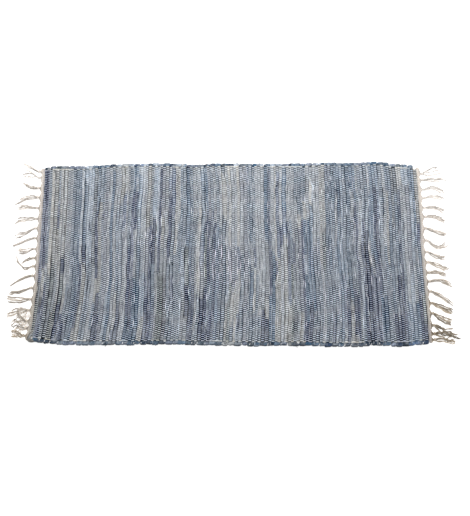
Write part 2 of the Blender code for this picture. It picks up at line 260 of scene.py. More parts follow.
# The turns at the front edge, and at the back edge, in the same way. They are folded so that more cloth
# shows, so their dyes don't all follow from the strips.
FRONT_TURNS = """
steel 3, slate 5, ink 7, slate 9, taupe 11, mauve 15, grey 21, ash 23.6, taupe 25, navy 27, steel 29,
mauve 31, grey 33, steel 35, navy 37.8, teal 39, grey 41, ink 43, mauve 47, grey 49, taupe 51, ink 53,
taupe 55, mauve 57, grey 59, taupe 61, stone 65, taupe 67, mauve 69, khaki 71, steel 73, slate 74, teal 75,
navy 77, grey 79, mauve 81, stone 82, taupe 83, moss 85, ink 87, blue 89, grey 91, taupe 93, violet 95,
navy 97, steel 99, navy 111, blue 113, mauve 115, violet 117, ink 119, lilac 122, mauve 123, violet 125
"""
BACK_TURNS = """
taupe 1, stone 2, taupe 3, mauve 4, khaki 6, taupe 8, mauve 14, pearl 16, grey 18, steel 19, grey 22,
navy 24, ash 26, stone 28, ash 30, violet 32, lilac 32.6, ash 34.7, slate 36, grey 36.4, ash 38, mauve 40,
grey 42, violet 43, ash 46, stone 47, steel 48, mauve 49, ash 50, mauve 52, navy 54.8, grey 56, violet 58,
steel 60, khaki 60.6, steel 62, slate 64, pearl 66, taupe 70, blue 72, ash 73, pearl 74, grey 76, ash 80,
mauve 82, navy 83, grey 86, mauve 87, grey 88, mauve 91, ash 92.8, teal 94, grey 98, taupe 99, grey 102,
steel 103, violet 104, ash 105, mauve 106, violet 108, teal 109, steel 114, teal 116, ash 117, mauve 118,
khaki 119, taupe 121, grey 124, ink 125
"""
# Where the outermost warp yarn floats over the strips, so that a pale line runs beside the turns.
Float = namedtuple("Float", "side first last")
FLOATS = (
    Float(-1, 0, 8), Float(-1, 9, 19), Float(-1, 26, 31), Float(-1, 57, 61), Float(-1, 98, 104),
    Float(-1, 114, 120), Float(1, 0, 9), Float(1, 43, 47), Float(1, 62, 66), Float(1, 76, 92),
    Float(1, 116, 125),
)
FLOAT_SHARE = 0.8               # it floats over this share of the strips there

# A strip's outline, from its right side over the top: how far round, in degrees.
STRIP_ROUND = tuple(18 + 36 * step for step in range(10))


def linear(code):
    """A colour as Blender works with it, from its sRGB hex code."""
    parts = [int(code[place:place + 2], 16) / 255 for place in (1, 3, 5)]
    return np.array([part / 12.92 if part <= 0.04045 else ((part + 0.055) / 1.055) ** 2.4 for part in parts])


def read_chart(chart):
    """The colours in a chart, and where each of them ends."""
    entries = [entry.split() for entry in chart.split(",")]
    return np.array([linear(DYES[name]) for name, _ in entries]), [float(until) for _, until in entries]


def end_at(side, y):
    """Where the denim ends on the left (-1) or the right (1)."""
    return side * np.interp(y, [row.y for row in END_EDGES],
                            [row.left if side < 0 else row.right for row in END_EDGES])


def long_edge_at(side, x):
    """Where the denim ends at the front (-1) or the back (1)."""
    return side * np.interp(x, [row.x for row in LONG_EDGES],
                            [row.front if side < 0 else row.back for row in LONG_EDGES])


def slow_line(rng, count, reach):
    """A smooth unsteady line from -1 to 1 with a new value at every reach, as far as count places."""
    knots = rng.uniform(-1.0, 1.0, int(count / reach) + 3)
    place = np.arange(count) / reach
    low = place.astype(int)
    share = place - low
    share = share * share * (3 - 2 * share)
    return knots[low] * (1 - share) + knots[low + 1] * share


def run_lengths(lines):
    """How far along its line each point of each line lies."""
    steps = np.diff(lines, axis=1, prepend=lines[:, :1])
    return np.cumsum(np.linalg.norm(steps, axis=2), axis=1)


def add_tubes(name, rings, lengths, dyes, material):
    """Rolls flat grids into closed tubes. rings holds a point for each tube, ring and side, lengths how far
    along its tube each ring lies, and dyes the colour of each point."""
    tubes, count, sides = rings.shape[:3]
    bm = bmesh.new()
    for _ in range(tubes):
        bmesh.ops.create_grid(bm, x_segments=count - 1, y_segments=sides, size=0.5)
    mesh = bpy.data.meshes.new(name)
    bm.to_mesh(mesh)
    bm.free()
    flat = np.empty(len(mesh.vertices) * 3)
    mesh.vertices.foreach_get("co", flat)
    flat = flat.reshape(-1, 3)
    tube = np.arange(len(flat)) // (count * (sides + 1))
    ring = np.rint((flat[:, 0] + 0.5) * (count - 1)).astype(int)
    side = np.rint((flat[:, 1] + 0.5) * sides).astype(int)
    places = rings[tube, ring, side % sides] + np.array([*MIDDLE, 0.0])
    mesh.vertices.foreach_set("co", places.ravel())
    shade = np.ones((len(flat), 4))
    shade[:, :3] = dyes[tube, ring, side % sides]
    mesh.attributes.new("dye", "FLOAT_COLOR", "POINT").data.foreach_set("color", shade.ravel())
    corners = np.empty(len(mesh.loops), dtype=int)
    mesh.loops.foreach_get("vertex_index", corners)
    girth = np.linalg.norm(rings - np.roll(rings, 1, axis=2), axis=3).sum(axis=2).mean()
    unrolled = np.stack([lengths[tube, ring], side * girth / sides], axis=1)[corners]
    mesh.uv_layers.new(name="thread").data.foreach_set("uv", unrolled.ravel())
    bm = bmesh.new()
    bm.from_mesh(mesh)
    bmesh.ops.remove_doubles(bm, verts=bm.verts, dist=MM / 1000)
    bmesh.ops.holes_fill(bm, edges=[edge for edge in bm.edges if edge.is_boundary], sides=sides)
    bmesh.ops.recalc_face_normals(bm, faces=bm.faces)
    for face in bm.faces:
        face.smooth = True
    bm.to_mesh(mesh)
    bm.free()
    mesh.materials.append(material)
    piece = bpy.data.objects.new(name, mesh)
    bpy.context.scene.collection.objects.link(piece)
    return piece


def add_node(material, kind, inputs, **settings):
    """Adds a shader node to a material, with its settings, values and links."""
    node = material.node_tree.nodes.new("ShaderNode" + kind)
    for setting, value in settings.items():
        setattr(node, setting, value)
    for socket, value in inputs.items():
        if isinstance(value, bpy.types.NodeSocket):
            material.node_tree.links.new(value, node.inputs[socket])
        else:
            node.inputs[socket].default_value = value
    return node


def start_material(name, values):
    """A new material, with its shader's own sockets set. Returns it and the shader."""
    material = bpy.data.materials.new(name)
    material.use_nodes = True
    shader = material.node_tree.nodes["Principled BSDF"]
    for socket, value in values.items():
        shader.inputs[socket].default_value = value
    return material, shader


# Old denim: indigo twill, washed soft. It is matt, with pale cotton showing through the dye in flecks and
# slubs, long streaks where it was creased in the wash, and soft crumples.
SLUBS = (130, 900, 1)           # to the metre along and across a strip, so 8 mm long and 1 mm wide
STREAKS = (28, 480, 1)          # 36 mm long and 2 mm wide
FLECKS = 420.0                  # 2.4 mm apart
CRUMPLES = 260.0                # 4 mm apart
TWILL = 160.0                   # lines 2.8 mm apart. Real ones, under 1 mm, are too fine to show
FLECK_DYE = "#A9B0B8"
MULTIPLIED = {"data_type": "RGBA", "blend_type": "MULTIPLY"}
denim, denim_shader = start_material("worn_denim_twill", {"Roughness": 0.95, "Specular IOR Level": 0.03})
dye = add_node(denim, "Attribute", {}, attribute_name="dye")
thread = add_node(denim, "UVMap", {}, uv_map="thread")
slub_place = add_node(denim, "Mapping", {"Vector": thread.outputs["UV"], "Scale": SLUBS})
slubs = add_node(denim, "TexNoise", {
    "Vector": slub_place.outputs["Vector"], "Scale": 1.0, "Detail": 3.0})
slub_tone = add_node(denim, "MapRange", {
    "Value": slubs.outputs["Fac"], "From Min": 0.3, "From Max": 0.72, "To Min": 0.66, "To Max": 1.4})
slubbed = add_node(denim, "Mix", {
    0: 1.0, 6: dye.outputs["Color"], 7: slub_tone.outputs["Result"]}, **MULTIPLIED)
streak_place = add_node(denim, "Mapping", {"Vector": thread.outputs["UV"], "Scale": STREAKS})
streaks = add_node(denim, "TexNoise", {
    "Vector": streak_place.outputs["Vector"], "Scale": 1.0, "Detail": 2.0, "Distortion": 0.4})
streak_tone = add_node(denim, "MapRange", {
    "Value": streaks.outputs["Fac"], "From Min": 0.32, "From Max": 0.7, "To Min": 0.62, "To Max": 1.5})
toned = add_node(denim, "Mix", {
    0: 1.0, 6: slubbed.outputs[2], 7: streak_tone.outputs["Result"]}, **MULTIPLIED)
place = add_node(denim, "TexCoord", {})
flecks = add_node(denim, "TexNoise", {
    "Vector": place.outputs["Object"], "Scale": FLECKS, "Detail": 2.0})
fleck_share = add_node(denim, "MapRange", {
    "Value": flecks.outputs["Fac"], "From Min": 0.58, "From Max": 0.72, "To Min": 0.0, "To Max": 0.15})
flecked = add_node(denim, "Mix", {
    0: fleck_share.outputs["Result"], 6: toned.outputs[2], 7: (*linear(FLECK_DYE), 1.0)}, data_type="RGBA")
denim.node_tree.links.new(flecked.outputs[2], denim_shader.inputs["Base Color"])
twill = add_node(denim, "TexWave", {
    "Vector": thread.outputs["UV"], "Scale": TWILL, "Distortion": 1.5, "Detail": 1.0},
    bands_direction="DIAGONAL")
crumple = add_node(denim, "TexNoise", {
    "Vector": place.outputs["Object"], "Scale": CRUMPLES, "Detail": 3.0})
crumple_bump = add_node(denim, "Bump", {
    "Height": crumple.outputs["Fac"], "Strength": 0.6, "Distance": 1.2 * MM})
twill_bump = add_node(denim, "Bump", {
    "Height": twill.outputs["Fac"], "Strength": 0.5, "Distance": 0.2 * MM,
    "Normal": crumple_bump.outputs["Normal"]})
denim.node_tree.links.new(twill_bump.outputs["Normal"], denim_shader.inputs["Normal"])

# where each strip crosses each warp yarn: x, y, and whether the yarn passes over the strip
rng = np.random.default_rng(11)
grooves = np.arange(PICKS + 1) + rng.uniform(-PITCH_UNEVEN, PITCH_UNEVEN, PICKS + 1)
grooves[[0, -1]] = 0, PICKS
pick_share = ((grooves[1:] + grooves[:-1]) / 2 / PICKS)[:, None]
half_width = np.diff(grooves) * (end_at(1, 0.0) - end_at(-1, 0.0)) / PICKS / 2 * STRIP_CROWD
pick_x = end_at(-1, 0.0) * (1 - pick_share) + end_at(1, 0.0) * pick_share
end_share = (np.arange(ENDS) / (ENDS - 1))[None, :]
cross_y = ((long_edge_at(-1, pick_x) + SELVEDGE) * (1 - end_share)
           + (long_edge_at(1, pick_x) - SELVEDGE) * end_share)


def strip_x(share, y):
    """The x of a strip's middle, wander and all, from its share of the way along the rug."""
    x = end_at(-1, y) * (1 - share) + end_at(1, y) * share
    calm = 1 - (2 * share - 1) ** WANDER_CALM
    for row in WANDERS:
        angle = 2 * math.pi * (y / row.across + x / row.along + row.phase)
        x = x + row.size * calm * np.sin(angle)
    return x


cross_x = strip_x(pick_share, cross_y)
yarn_over = (np.arange(PICKS)[:, None] + np.arange(ENDS)[None, :]) % 2 == 0
for row in FLOATS:
    yarn_over[row.first:row.last, 0 if row.side < 0 else -1] = rng.random(row.last - row.first) < FLOAT_SHARE

# the ring of a strip at every crossing, in the order of weaving, with rings round each turn
angles = np.radians(STRIP_ROUND)
ring_across = np.sign(np.cos(angles)) * np.abs(np.cos(angles)) ** SIDE_POWER
ring_up = np.sign(np.sin(angles)) * np.abs(np.sin(angles)) ** TOP_POWER
sections = ENDS + LOOP_SECTIONS
origin, facing, reach_in, reach_out, press, turns, turn_place = [], [], [], [], [], [], []
for pick in range(PICKS):
    away = 1 if pick % 2 == 0 else -1       # the way this strip runs: to the back, or to the front
    order = np.arange(ENDS) if away > 0 else np.arange(ENDS)[::-1]
    for end in order:
        origin.append((cross_x[pick, end], cross_y[pick, end]))
        facing.append((away, 0.0))
        reach_in.append(-half_width[pick])
        reach_out.append(half_width[pick])
        press.append(1.0 if yarn_over[pick, end] else -1.0)
        turn_place.append(0.0)
    last_end = order[-1]
    follower = min(pick + 1, PICKS - 1)
    reach = LOOP_REACH + rng.uniform(-LOOP_UNEVEN, LOOP_UNEVEN)
    turn_y = long_edge_at(away, pick_x[pick, 0]) - away * reach
    turn_x = cross_x[pick, last_end] + half_width[pick]
    turns.append((pick, turn_x, long_edge_at(away, turn_x), away))
    for step in range(1, LOOP_SECTIONS + 1):
        angle = math.pi * step / (LOOP_SECTIONS + 1)
        share = step / (LOOP_SECTIONS + 1)
        wide = (half_width[pick] * (1 - share) + half_width[follower] * share) * LOOP_WIDE
        square = abs(math.cos(angle) / wide) ** LOOP_SQUARE + abs(math.sin(angle) / LOOP_REACH) ** LOOP_SQUARE
        origin.append((turn_x, turn_y))
        facing.append((away * math.cos(angle), -math.sin(angle)))
        far = square ** (-1 / LOOP_SQUARE) * rng.uniform(*LOOP_SIZES)
        reach_in.append(-far if away > 0 else -LOOP_LAP)
        reach_out.append(LOOP_LAP if away > 0 else far)
        press.append(0.0)
        turn_place.append(pick + 2 * share)
origin, facing = np.array(origin), np.array(facing)
reach_in, reach_out, press = np.array(reach_in), np.array(reach_out), np.array(press)
turn_place = np.array(turn_place)
total = len(origin)
in_loop = press == 0.0

# which rag each ring belongs to, and how that rag is folded
rags, untils = read_chart(WEAVING)
woven = np.arange(total) / sections
rag = np.searchsorted(untils, woven, side="right").clip(max=len(rags) - 1)
slant = rng.uniform(-JOIN_SLANT, JOIN_SLANT, PICKS)[woven.astype(int)]
rag_there = np.searchsorted(untils, woven[:, None] + slant[:, None] * ring_across, side="right")
rag_colour = rags[rag_there.clip(max=len(rags) - 1)]
for side, chart in ((-1, FRONT_TURNS), (1, BACK_TURNS)):
    colours, ends = read_chart(chart)
    mine = in_loop & (origin[:, 1] * side > 0)
    shown = np.searchsorted(ends, turn_place[mine]).clip(max=len(ends) - 1)
    colours += (linear(TURN_DYE) - colours) * TURN_EVEN
    rag_colour[mine] = colours[shown][:, None, :] * TURN_TONE
rag_back = rng.uniform(0.0, BACK_SHOWS, len(rags))[rag]
rag_side = rng.choice([-1.0, 1.0], len(rags))[rag]
rag_rise = rng.uniform(-1.0, 1.0, len(rags))[rag]
rag_edge = rng.choice(EDGES_SHOW, len(rags))[rag]
flap_at = 1.5 * slow_line(rng, total, FOLD_REACH)         # the folded edge's place. Past 1 it is out of sight
rag_mottle = np.where(in_loop, TURN_MOTTLE, rng.choice(MOTTLES, len(rags))[rag])
fading = 1 + FADE * slow_line(rng, total, FADE_REACH) + PATCH * slow_line(rng, total, PATCH_REACH)
fading += rng.uniform(-1, 1, total) * rag_mottle

across = ring_across[None, :]
up = ring_up[None, :]
middle_out = (reach_in + reach_out)[:, None] / 2
half_out = (reach_out - reach_in)[:, None] / 2
spread = 1 + STRIP_SPREAD * slow_line(rng, total, SPREAD_REACH)[:, None]
waver = STRIP_WAVER * np.where(in_loop, 0.0, slow_line(rng, total, WAVER_REACH))[:, None]
out = middle_out + half_out * spread * across + waver
rise = RIB_SHARES[0] * rag_rise + RIB_SHARES[1] * slow_line(rng, total, RISE_REACH)
rise = STRIP_RISE + STRIP_UNEVEN * rise
squeeze = np.where(press > 0, -STRIP_DENT, STRIP_SWELL)
top = np.where(in_loop, LOOP_RISE + LOOP_LUMPS * slow_line(rng, total, LUMP_REACH), rise + squeeze)
squeeze = np.where(press > 0, STRIP_SWELL, -STRIP_DENT)
under = np.where(in_loop, LOOP_RISE, STRIP_RISE + squeeze)
flap = np.tanh((across - flap_at[:, None]) * rag_side[:, None] * FLAP_STEEP) * (np.abs(flap_at) < 1)[:, None]
height = STRIP_MIDDLE + np.where(up > 0, top[:, None] * up + FLAP / 2 * flap * up, under[:, None] * up)
height += rng.uniform(-STRIP_LUMPS, STRIP_LUMPS, height.shape)
height = height.clip(min=0.1 * MM)
strip_rings = np.stack([
    origin[:, :1] + facing[:, :1] * out,
    origin[:, 1:] + facing[:, 1:] * out,
    height], axis=2)
outward = np.abs(strip_rings[:, :, 1] - origin[:, 1:]) * in_loop[:, None]
calm = 1 - (2 * woven / PICKS - 1) ** LEAN_CALM
strip_rings[:, :, 0] += LOOP_LEAN * outward * np.where(origin[:, 1:] < 0, -1, 1) * calm[:, None]

# the tone of each point: its rag's dye, faded, with painted shade from the weave and grooves, and paler at
# the fold and the raw edge
near_edge = np.exp(-((across - flap_at[:, None]) / EDGE_FADE) ** 2) * (up > 0)
pale = (rag_back[:, None] * (flap > 0) + rag_edge[:, None] * near_edge).clip(0, 0.8)[:, :, None]
# painted shade in the grooves between strips, deeper in some places than in others
groove_painted_shade = GROOVE_TONE + GROOVE_LONG * slow_line(rng, total, GROOVE_REACH)
groove_painted_shade = groove_painted_shade + GROOVE_SHORT * slow_line(rng, total, CREASE_REACH)
groove_painted_shade = groove_painted_shade.clip(0, 1)
# painted shade: darker where a yarn pinches a strip, and darker still where the strip shows down between two
# yarns
painted_weave_shade = np.where(press > 0, STRIP_SHADE, np.where(press < 0, GAP_SHADE, 1.0))
strip_dyes = rag_colour * (fading * painted_weave_shade)[:, None, None]
back_dyes = strip_dyes * (1 - BACK_SHARE) + linear(BACK_DYE) * BACK_SHARE
strip_dyes = strip_dyes * (1 - pale) + back_dyes * pale
# painted shade down each strip's sides
strip_dyes *= 1 - GROOVE_SHADE * groove_painted_shade[:, None, None] * (np.abs(across) > SIDE_FROM)[:, :, None]
strip_dyes *= rng.uniform(*THREAD_TONES, (total, len(STRIP_ROUND), 1))
# painted shade down the outer side of each turn
strip_dyes *= 1 - RIM_SHADE * ((outward / LOOP_REACH - RIM_FROM) / RIM_OVER).clip(0, 1)[:, :, None]
strip_dyes = np.maximum(strip_dyes, linear(DARKEST_DYE)).clip(max=BRIGHTEST)
strip_lengths = run_lengths(strip_rings.mean(axis=1)[None])[0]

# the strip is cut into three pieces, and ends where its last turn would begin
WEFT_PARTS = (("weft_left", 0, 42), ("weft_middle", 42, 84), ("weft_right", 84, PICKS))
for name, first_pick, last_pick in WEFT_PARTS:
    part = slice(first_pick * sections, min(last_pick * sections, total - LOOP_SECTIONS))
    piece = add_tubes(name, strip_rings[None, part], strip_lengths[None, part], strip_dyes[None, part], denim)
    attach(piece, "root")
    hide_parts("rag_body")

# ---- warp ----
# Undyed cotton yarn, strung along the rug. Each yarn passes over one strip and under the next, and its
# neighbours do the opposite, so what shows is a field of short dashes, set like bricks.
YARN_WIDE = 1.25 * MM           # half a yarn's width, pressed flat on a strip
YARN_HIGH = 0.55 * MM
YARN_LIFT = 0.5 * MM            # its middle stands this far over the dent it lies in
YARN_SINK = 0.55 * MM           # but in a pale strip, which is soft and thick, it sinks in by this much
YARN_FLAT = 3.5 * MM            # it lies level this far to each side of a strip's middle
YARN_STAIN = 0.28               # the dye comes off on the cotton, which takes on a strip's hue by this share
YARN_FLOOR = 0.6 * MM           # lowest middle of a yarn under a strip
DARK_TONE = 0.12                # strips of this tone are stiff, and from here they soften
SOFTENING = 0.25                # until they are this much paler
# A dark strip is stiff and squeezes the yarn: a strip's tone, and the share of its width that the yarn keeps.
YARN_SQUEEZE = ((0.0, 0.58), (0.03, 0.76), (0.1, 0.94), (0.25, 1.07))
SQUEEZE_SHINE = -0.15           # and squeezed cotton is denser and paler, by this power of that share
SELVEDGE_YARN = 1.6             # the outermost yarns are this much thicker
YARN_THICKS = (0.88, 1.12)      # thinnest and thickest yarn
YARN_TONES = (0.9, 1.08)        # tone of a yarn, between these
DASH_TONES = (0.76, 1.12)       # and of each stretch of it
SPLAY_OUT = 7                   # a higher number leaves the splay at a heading to fewer yarns
SEAM = 0.3 * MM
HEADING_WIDTH = 9.5 * MM
HEADING_MIDDLE = 2.45 * MM      # height of the middle of the heading
HEADING_SHORTFALL = 4.5 * MM
COTTON_DYES = {
    "worn": "#EEF1F5", "edge": "#F0EADF", "bleached": "#F6F7F8", "band": "#CDC3B8", "white": "#F4EDE6",
    "pale": "#E9E0D7", "cream": "#DCD1C4", "tan": "#C4B6A3", "brown": "#B3A48E"}


def heading_y(side):
    """Where the warp yarns cross the middle of a heading. The outermost ones splay out to its corners."""
    x = end_at(side, 0.0)
    low = long_edge_at(-1, x)
    high = long_edge_at(1, x)
    straight = (low + SELVEDGE) * (1 - end_share[0]) + (high - SELVEDGE) * end_share[0]
    splay = (2 * end_share[0] - 1) ** SPLAY_OUT * (SELVEDGE - HEADING_SHORTFALL)
    return straight + splay


def lay_rings(lines, angles, wide, high):
    """Rings round lines that lie nearly level. wide and high are half their width and height."""
    along = np.gradient(lines[..., :2], axis=1)
    along /= np.linalg.norm(along, axis=2, keepdims=True).clip(min=1e-9)
    around = np.radians(angles)
    rings = np.repeat(lines[:, :, None, :], len(around), axis=2)
    rings[..., 0] -= along[..., 1:] * np.cos(around) * wide
    rings[..., 1] += along[..., :1] * np.cos(around) * wide
    rings[..., 2] += np.sin(around) * high
    rings[..., 2] = rings[..., 2].clip(min=0.05 * MM)
    return rings


# Soft undyed cotton, spun from two plies. It is matt and slightly hairy, with painted shade along the groove
# of the twist running round it, and a fluffy, patchy tone.
PLY = 75.0                      # lines 6 mm apart. Real ones, about 2 mm, are too fine to show
FLUFF = 300.0                   # patches 3 mm apart
cotton, cotton_shader = start_material("undyed_cotton_yarn", {
    "Roughness": 0.9, "Specular IOR Level": 0.2, "Sheen Weight": 0.1, "Sheen Roughness": 0.5})
dye = add_node(cotton, "Attribute", {}, attribute_name="dye")
thread = add_node(cotton, "UVMap", {}, uv_map="thread")
ply = add_node(cotton, "TexWave", {
    "Vector": thread.outputs["UV"], "Scale": PLY, "Distortion": 0.6, "Detail": 1.0},
    bands_direction="DIAGONAL")
# painted shade along the groove between the two plies
ply_groove_shade = add_node(cotton, "MapRange", {
    "Value": ply.outputs["Fac"], "To Min": 0.82, "To Max": 1.08})
toned = add_node(cotton, "Mix", {
    0: 1.0, 6: dye.outputs["Color"], 7: ply_groove_shade.outputs["Result"]}, **MULTIPLIED)
place = add_node(cotton, "TexCoord", {})
fluff = add_node(cotton, "TexNoise", {
    "Vector": place.outputs["Object"], "Scale": FLUFF, "Detail": 2.0})
fluff_tone = add_node(cotton, "MapRange", {
    "Value": fluff.outputs["Fac"], "To Min": 0.75, "To Max": 1.2})
fluffed = add_node(cotton, "Mix", {
    0: 1.0, 6: toned.outputs[2], 7: fluff_tone.outputs["Result"]}, **MULTIPLIED)
cotton.node_tree.links.new(fluffed.outputs[2], cotton_shader.inputs["Base Color"])
ply_bump = add_node(cotton, "Bump", {
    "Height": ply.outputs["Fac"], "Strength": 0.7, "Distance": 0.3 * MM})
cotton.node_tree.links.new(ply_bump.outputs["Normal"], cotton_shader.inputs["Normal"])

# heights of every crossing, taken from the strips as they lie
weave_order = np.array([pick * sections + (end if pick % 2 == 0 else ENDS - 1 - end)
                        for pick in range(PICKS) for end in range(ENDS)]).reshape(PICKS, ENDS)
strip_top = strip_rings[weave_order, 2, 2]
strip_foot = strip_rings[weave_order, 7, 2]
softness = ((rag_colour.mean(axis=(1, 2))[weave_order] - DARK_TONE) / SOFTENING).clip(0, 1)
softness[:, [0, -1]] = 0
yarn_z = np.where(yarn_over, strip_top + YARN_LIFT - YARN_SINK * softness,
                  (strip_foot - YARN_LIFT).clip(min=YARN_FLOOR))
x_steps = np.stack([cross_x - YARN_FLAT, cross_x + YARN_FLAT], axis=1).reshape(2 * PICKS, ENDS)
y_steps = np.repeat(cross_y, 2, axis=0)
z_steps = np.repeat(yarn_z, 2, axis=0)
level = np.full(ENDS, HEADING_MIDDLE)
left_y, right_y = heading_y(-1), heading_y(1)
left_x, right_x = end_at(-1, left_y), end_at(1, right_y)
warp_x = np.vstack([left_x - HEADING_WIDTH, left_x - 2 * SEAM, x_steps,
                    right_x + 2 * SEAM, right_x + HEADING_WIDTH])
warp_y = np.vstack([left_y, left_y, y_steps, right_y, right_y])
warp_z = np.vstack([level, level, z_steps, level, level])
spine = np.stack([warp_x, warp_y, warp_z], axis=2).transpose(1, 0, 2)      # yarn, ring, xyz

around = np.radians([0, 90, 180, 270])
thick = np.ones(ENDS)
thick[[0, -1]] = SELVEDGE_YARN
thick *= rng.uniform(*YARN_THICKS, ENDS)
rag_beneath = np.repeat(rag_colour.mean(axis=1)[weave_order].transpose(1, 0, 2), 2, axis=1)
rag_beneath = np.pad(rag_beneath, ((0, 0), (2, 2), (0, 0)), mode="edge")
rag_hue = rag_beneath / rag_beneath.max(axis=2, keepdims=True)
squeezed = np.interp(rag_beneath.mean(axis=2, keepdims=True), *zip(*YARN_SQUEEZE))
yarn_rings = np.repeat(spine[:, :, None, :], 4, axis=2)
yarn_rings[..., 1] += thick[:, None, None] * YARN_WIDE * squeezed * np.cos(around)
yarn_rings[..., 2] += thick[:, None, None] * YARN_HIGH * np.sin(around)
yarn_rings[..., 2] = yarn_rings[..., 2].clip(min=0.02 * MM)
yarn_tone = rng.uniform(*YARN_TONES, (ENDS, 1, 1, 1))
yarn_tone = yarn_tone * rng.uniform(*DASH_TONES, (ENDS, spine.shape[1], 1, 1))
yarn_tone = yarn_tone * squeezed[:, :, None] ** SQUEEZE_SHINE
yarn_tone = yarn_tone * (1 - YARN_STAIN * (1 - rag_hue))[:, :, None, :]
yarn_dyes = linear(COTTON_DYES["worn"]) * np.repeat(yarn_tone, 4, axis=2)
yarn_dyes[[0, -1]] *= linear(COTTON_DYES["edge"])
yarn_lengths = np.tile(spine[:, :, 0].mean(axis=0), (ENDS, 1))

for name, first_end in (("warp_odd", 0), ("warp_even", 1)):
    part = slice(first_end, ENDS, 2)
    piece = add_tubes(name, yarn_rings[part], yarn_lengths[part], yarn_dyes[part], cotton)
    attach(piece, "root")

# a cord inside the turns at the front edge, which comes up for a stitch at some of their joins
SELVEDGE_CORD = 0.95 * MM       # half its thickness
CORD_INSET = 4.8 * MM           # it lies this far inside the edge
CORD_TOP = 7.2 * MM             # its height in a stitch
CORD_JOIN = 9.2 * MM            # from the middle of a turn to its join with the next
CORD_STRAY = 0.8 * MM
STITCH = 1.7 * MM               # half a stitch's length
STITCHED = (3, 5, 7, 9, 23, 29, 33, 35, 51, 53, 55, 61, 67, 69, 75, 79, 81, 91, 97, 99, 101, 105, 107, 109,
            123)                # the strips at whose joins it comes up
rng = np.random.default_rng(50)
spine = []
for pick, turn_x, edge, away in turns:
    if away > 0:
        continue
    join = turn_x + CORD_JOIN - LOOP_LEAN * (CORD_INSET - LOOP_REACH) + rng.uniform(-CORD_STRAY, CORD_STRAY)
    y = edge - away * (CORD_INSET + rng.uniform(-CORD_STRAY, CORD_STRAY))
    top = CORD_TOP + rng.uniform(-0.2, 0.2) * MM if pick + 2 in STITCHED else STRIP_MIDDLE
    stitch = ((-2.6, -STITCH, STRIP_MIDDLE), (-0.6, -STITCH, top),
              (0.6, STITCH, top), (2.6, STITCH, STRIP_MIDDLE))
    for ahead, beyond, height in stitch:
        spine.append((join + ahead * MM, y + beyond, height))
spine = np.array(spine)
rings = lay_rings(spine[None], range(0, 360, 72), SELVEDGE_CORD, SELVEDGE_CORD)
tone = rng.uniform(0.9, 1.1, (len(spine), 1, 1))
dyes = np.repeat(linear(COTTON_DYES["bleached"]) * tone, 5, axis=1)
piece = add_tubes("selvedge_cord", rings, spine[None, :, 0], dyes[None], cotton)
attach(piece, "root")

# ---- frays ----
# Threads and raw edges of denim, worked loose from the rags. They lie in the grooves or curl over the strips,
# many lie across the turns, and a few hang out at the front.
FRAY_COUNT = 260                # threads on the strips
FRAY_FIELD = 0.272              # they lie this far to each side of the middle, at most
TURN_FRAYS = 90                 # threads across the turns
TURN_SPAN = (-0.565, 0.575)     # between these two places
TURN_FRAY_FROM = 1.5            # in mm. One begins this far inside the edge
TURN_FRAY_RUN = 9.5             # and runs this far in
FRAY_STEPS = 13
FRAY_STEER = 0.3                # a thread lies at most this far off a groove, in widths of a strip
FRAY_LENGTHS = (9, 18, 42)      # in mm
FRAY_CURLS = (0.4, 1.0, 2.2)    # nearly straight, curly, and very curly
FRAY_TONES = (0.85, 1.1)        # tone of a thread from stretch to stretch, between these
FRAY_HEIGHT = 7.5 * MM          # height of a thread that lies on the strips
FRAY_WAVE = 1.6 * MM            # a thread strays this far from its line, times its curl
FRAY_LOW = 0.6 * MM             # height of a thread that has come down to the floor
FRAY_FALL = 3.0 * MM            # it comes down over this distance inside the edge
FRAY_FLAT = 0.6                 # its height, as a share of its width
FRAY_DYES = ("#D6DBE1", "#BCC4CE", "#8F9BAA", "#1A2230")
# threads placed one by one, the first of them a warp yarn that has come up
Fray = namedtuple("Fray", "x y run rise thick curl dye")
PLACED_FRAYS = read_rows(Fray, 5, (
    (-532, -202, 204, 0, 0.6, 0.3, 0),
    (-289, -20, 12, -28, 0.8, 2.6, 0),
    (-186, -200, 3, -24, 0.8, 2.4, 0),
    (-176, -186, 4, -14, 0.7, 2.2, 0),
    (-72, -236, 6, -10, 0.7, 2.6, 0),
    (16, -258, 5, -30, 0.8, 2.4, 0),
    (148, 231, 7, -7, 1.3, 1.4, 3),
    (152, 221, -5, -5, 1.2, 1.6, 3),
    (332, 203, 7, -4, 1.2, 1.4, 3),
    (-304, -297, 14, 4, 0.8, 0.6, 0),
    (-573, -268, -10, -16, 1.3, 0.4, 1),
    (199, -296, 7, -26, 0.4, 0.8, 3),
    (-355, -295, -2, -12, 0.9, 0.5, 3),
    (-212, -297, 2, -8, 0.8, 0.5, 3),
    (-294, -297, 3, -8, 1.0, 0.8, 3),
))
